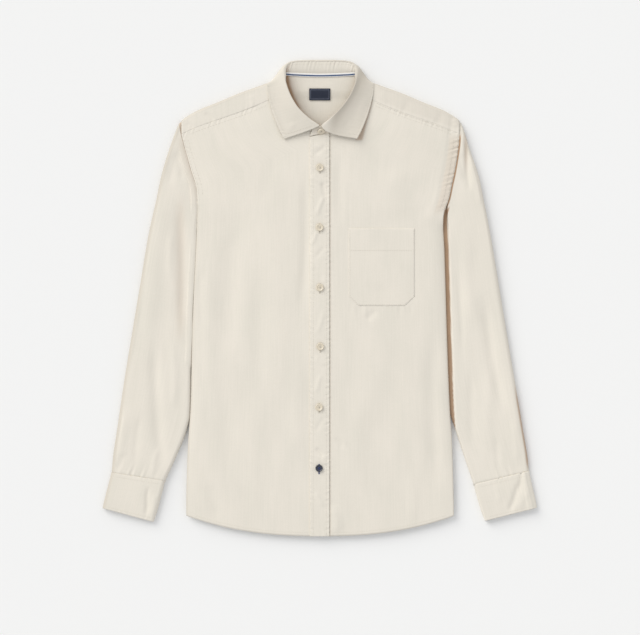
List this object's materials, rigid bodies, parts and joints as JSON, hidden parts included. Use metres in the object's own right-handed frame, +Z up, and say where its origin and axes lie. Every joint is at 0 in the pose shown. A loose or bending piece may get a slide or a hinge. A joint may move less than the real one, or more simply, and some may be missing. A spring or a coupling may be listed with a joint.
{
  "type": "long-sleeved flannel shirt, buttoned and laid flat",
  "caption": "Flannel shirt with spread collar, yoke, button placket, chest pocket and cuffed long sleeves, laid flat on its back.",
  "frame": {"origin": "on the surface the shirt lies on, under the middle of its width and length", "axes": "+X to the right seen from above with the collar away, +Y from the hem to the collar, +Z up off the surface"},
  "size_m": [0.7386, 0.8112, 0.0301],
  "materials": {
    "flannel": "brushed cotton flannel, matt, with a soft nap",
    "tape_cloth": "woven tape with a dark blue centre line",
    "label_cloth": "woven navy label, blank",
    "button_cream": "semi-gloss cream",
    "button_navy": "semi-gloss dark navy"
  },
  "bodies": {
    "root": {"back": "flannel", "yoke": "flannel", "front_right": "flannel", "front_left": "flannel", "placket": "flannel", "pocket": "flannel", "sleeve_right": "flannel", "sleeve_left": "flannel", "cuff_right": "flannel", "cuff_left": "flannel", "collar_leaf": "flannel", "collar_stand": "flannel", "neck_tape": "tape_cloth", "neck_label": "label_cloth", "button_1": "button_cream", "button_2": "button_cream", "button_3": "button_cream", "button_4": "button_cream", "button_5": "button_cream", "button_6": "button_navy", "button_band": "button_cream"}
  },
  "joints": []
}
